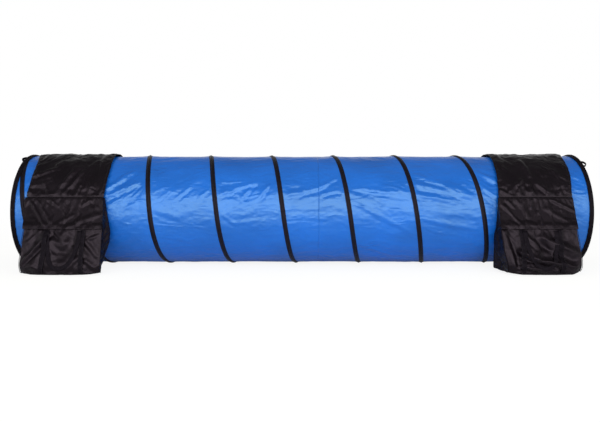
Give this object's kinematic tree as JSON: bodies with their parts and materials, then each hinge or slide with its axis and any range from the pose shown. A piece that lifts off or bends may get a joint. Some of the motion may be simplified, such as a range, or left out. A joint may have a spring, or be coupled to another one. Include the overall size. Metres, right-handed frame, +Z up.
{
  "type": "dog agility tunnel",
  "caption": "Spiral-wire fabric tunnel for dog agility that folds up lengthwise and bends sideways, held down by two lift-off saddle bags with flapped pouches.",
  "frame": {"origin": "on the floor under the middle of the tunnel's length", "axes": "+X along the tunnel towards its right mouth, +Y to the rear, +Z up"},
  "size_m": [3.0946, 0.898, 0.6242],
  "materials": {
    "sleeve": "glossy woven polyester",
    "webbing": "ribbed webbing",
    "bag_cloth": "satin woven polyester",
    "closure": "matt hook and loop tape",
    "sand_liner": "matt canvas",
    "spring_steel": "drawn wire"
  },
  "bodies": {
    "left_end": {"sleeve_left_end": "sleeve", "sleeve_fold_1": "sleeve", "spring_wire": "spring_steel", "spiral_tape": "webbing", "left_mouth_binding": "webbing", "left_mouth_hoop": "spring_steel", "left_hoop_crimp": "spring_steel", "left_closing_loop": "webbing"},
    "stretch_1": {"sleeve_bend_1": "sleeve"},
    "turned_1": {"sleeve_fold_2": "sleeve"},
    "stretch_2": {"sleeve_bend_2": "sleeve"},
    "turned_2": {"sleeve_fold_3": "sleeve"},
    "stretch_3": {"sleeve_bend_3": "sleeve"},
    "turned_3": {"sleeve_fold_4": "sleeve"},
    "stretch_4": {"sleeve_bend_4": "sleeve"},
    "turned_4": {"sleeve_fold_5": "sleeve"},
    "stretch_5": {"sleeve_bend_5": "sleeve"},
    "turned_5": {"sleeve_fold_6": "sleeve"},
    "right_end": {"sleeve_right_end": "sleeve", "right_mouth_binding": "webbing", "right_mouth_hoop": "spring_steel", "right_hoop_crimp": "spring_steel", "right_closing_loop": "webbing"},
    "left_saddle": {"left_saddle_panel": "bag_cloth"},
    "left_front_pouch": {"left_front_pouch": "bag_cloth", "left_front_sand_bag": "sand_liner", "left_front_strap_1": "webbing", "left_front_strap_2": "webbing", "left_front_hook_strip": "closure"},
    "left_front_flap": {"left_front_flap": "bag_cloth", "left_front_loop_strip": "closure"},
    "left_front_handle": {"left_front_handle": "webbing"},
    "left_rear_pouch": {"left_rear_pouch": "bag_cloth", "left_rear_sand_bag": "sand_liner", "left_rear_strap_1": "webbing", "left_rear_strap_2": "webbing", "left_rear_hook_strip": "closure"},
    "left_rear_flap": {"left_rear_flap": "bag_cloth", "left_rear_loop_strip": "closure"},
    "left_rear_handle": {"left_rear_handle": "webbing"},
    "right_saddle": {"right_saddle_panel": "bag_cloth"},
    "right_front_pouch": {"right_front_pouch": "bag_cloth", "right_front_sand_bag": "sand_liner", "right_front_strap_1": "webbing", "right_front_strap_2": "webbing", "right_front_hook_strip": "closure"},
    "right_front_flap": {"right_front_flap": "bag_cloth", "right_front_loop_strip": "closure"},
    "right_front_handle": {"right_front_handle": "webbing"},
    "right_rear_pouch": {"right_rear_pouch": "bag_cloth", "right_rear_sand_bag": "sand_liner", "right_rear_strap_1": "webbing", "right_rear_strap_2": "webbing", "right_rear_hook_strip": "closure"},
    "right_rear_flap": {"right_rear_flap": "bag_cloth", "right_rear_loop_strip": "closure"},
    "right_rear_handle": {"right_rear_handle": "webbing"}
  },
  "joints": [
    {"name": "fold_1", "type": "slide", "parent": "left_end", "child": "stretch_1", "axis": [1, 0, 0], "range_m": [-0.235, 0], "stiffness_N_per_m": 170, "deforming": ["sleeve_fold_1", "spring_wire", "spiral_tape"]},
    {"name": "bend_1", "type": "hinge", "parent": "stretch_1", "child": "turned_1", "pos_m": [-0.74, 0, 0.3092], "axis": [0, 0, 1], "range_deg": [-15, 15], "stiffness_Nm_per_rad": 2, "deforming": ["sleeve_bend_1"]},
    {"name": "fold_2", "type": "slide", "parent": "turned_1", "child": "stretch_2", "axis": [1, 0, 0], "range_m": [-0.235, 0], "stiffness_N_per_m": 170, "deforming": ["sleeve_fold_2"]},
    {"name": "bend_2", "type": "hinge", "parent": "stretch_2", "child": "turned_2", "pos_m": [-0.37, 0, 0.3092], "axis": [0, 0, 1], "range_deg": [-15, 15], "stiffness_Nm_per_rad": 2, "deforming": ["sleeve_bend_2"]},
    {"name": "fold_3", "type": "slide", "parent": "turned_2", "child": "stretch_3", "axis": [1, 0, 0], "range_m": [-0.235, 0], "stiffness_N_per_m": 170, "deforming": ["sleeve_fold_3"]},
    {"name": "bend_3", "type": "hinge", "parent": "stretch_3", "child": "turned_3", "pos_m": [0, 0, 0.3092], "axis": [0, 0, 1], "range_deg": [-15, 15], "stiffness_Nm_per_rad": 2, "deforming": ["sleeve_bend_3"]},
    {"name": "fold_4", "type": "slide", "parent": "turned_3", "child": "stretch_4", "axis": [1, 0, 0], "range_m": [-0.235, 0], "stiffness_N_per_m": 170, "deforming": ["sleeve_fold_4"]},
    {"name": "bend_4", "type": "hinge", "parent": "stretch_4", "child": "turned_4", "pos_m": [0.37, 0, 0.3092], "axis": [0, 0, 1], "range_deg": [-15, 15], "stiffness_Nm_per_rad": 2, "deforming": ["sleeve_bend_4"]},
    {"name": "fold_5", "type": "slide", "parent": "turned_4", "child": "stretch_5", "axis": [1, 0, 0], "range_m": [-0.235, 0], "stiffness_N_per_m": 170, "deforming": ["sleeve_fold_5"]},
    {"name": "bend_5", "type": "hinge", "parent": "stretch_5", "child": "turned_5", "pos_m": [0.74, 0, 0.3092], "axis": [0, 0, 1], "range_deg": [-15, 15], "stiffness_Nm_per_rad": 2, "deforming": ["sleeve_bend_5"]},
    {"name": "fold_6", "type": "slide", "parent": "turned_5", "child": "right_end", "axis": [1, 0, 0], "range_m": [-0.235, 0], "stiffness_N_per_m": 170, "deforming": ["sleeve_fold_6"]},
    {"name": "left_bag_lift", "type": "slide", "parent": "left_end", "child": "left_saddle", "axis": [0, 0, 1], "range_m": [0, 0.68]},
    {"name": "left_front_pouch_swing", "type": "hinge", "parent": "left_saddle", "child": "left_front_pouch", "pos_m": [-1.2125, -0.304, 0.3885], "axis": [-1, 0, 0], "range_deg": [0, 60]},
    {"name": "left_front_flap_open", "type": "hinge", "parent": "left_front_pouch", "child": "left_front_flap", "pos_m": [-1.2125, -0.32025, 0.383], "axis": [-1, 0, 0], "range_deg": [0, 105]},
    {"name": "left_front_handle_swing", "type": "hinge", "parent": "left_front_pouch", "child": "left_front_handle", "pos_m": [-1.2125, -0.397, 0.221], "axis": [-1, 0, 0], "range_deg": [0, 150]},
    {"name": "left_rear_pouch_swing", "type": "hinge", "parent": "left_saddle", "child": "left_rear_pouch", "pos_m": [-1.2125, 0.304, 0.3885], "axis": [1, 0, 0], "range_deg": [0, 60]},
    {"name": "left_rear_flap_open", "type": "hinge", "parent": "left_rear_pouch", "child": "left_rear_flap", "pos_m": [-1.2125, 0.32025, 0.383], "axis": [1, 0, 0], "range_deg": [0, 105]},
    {"name": "left_rear_handle_swing", "type": "hinge", "parent": "left_rear_pouch", "child": "left_rear_handle", "pos_m": [-1.2125, 0.397, 0.221], "axis": [1, 0, 0], "range_deg": [0, 150]},
    {"name": "right_bag_lift", "type": "slide", "parent": "right_end", "child": "right_saddle", "axis": [0, 0, 1], "range_m": [0, 0.68]},
    {"name": "right_front_pouch_swing", "type": "hinge", "parent": "right_saddle", "child": "right_front_pouch", "pos_m": [1.2125, -0.304, 0.3885], "axis": [-1, 0, 0], "range_deg": [0, 60]},
    {"name": "right_front_flap_open", "type": "hinge", "parent": "right_front_pouch", "child": "right_front_flap", "pos_m": [1.2125, -0.32025, 0.383], "axis": [-1, 0, 0], "range_deg": [0, 105]},
    {"name": "right_front_handle_swing", "type": "hinge", "parent": "right_front_pouch", "child": "right_front_handle", "pos_m": [1.2125, -0.397, 0.221], "axis": [-1, 0, 0], "range_deg": [0, 150]},
    {"name": "right_rear_pouch_swing", "type": "hinge", "parent": "right_saddle", "child": "right_rear_pouch", "pos_m": [1.2125, 0.304, 0.3885], "axis": [1, 0, 0], "range_deg": [0, 60]},
    {"name": "right_rear_flap_open", "type": "hinge", "parent": "right_rear_pouch", "child": "right_rear_flap", "pos_m": [1.2125, 0.32025, 0.383], "axis": [1, 0, 0], "range_deg": [0, 105]},
    {"name": "right_rear_handle_swing", "type": "hinge", "parent": "right_rear_pouch", "child": "right_rear_handle", "pos_m": [1.2125, 0.397, 0.221], "axis": [1, 0, 0], "range_deg": [0, 150]}
  ],
  "couplings": [
    {"joint": "fold_2", "follows": "fold_1", "ratio": 1},
    {"joint": "bend_2", "follows": "bend_1", "ratio": 1},
    {"joint": "fold_3", "follows": "fold_1", "ratio": 1},
    {"joint": "bend_3", "follows": "bend_1", "ratio": 1},
    {"joint": "fold_4", "follows": "fold_1", "ratio": 1},
    {"joint": "bend_4", "follows": "bend_1", "ratio": 1},
    {"joint": "fold_5", "follows": "fold_1", "ratio": 1},
    {"joint": "bend_5", "follows": "bend_1", "ratio": 1},
    {"joint": "fold_6", "follows": "fold_1", "ratio": 1}
  ]
}
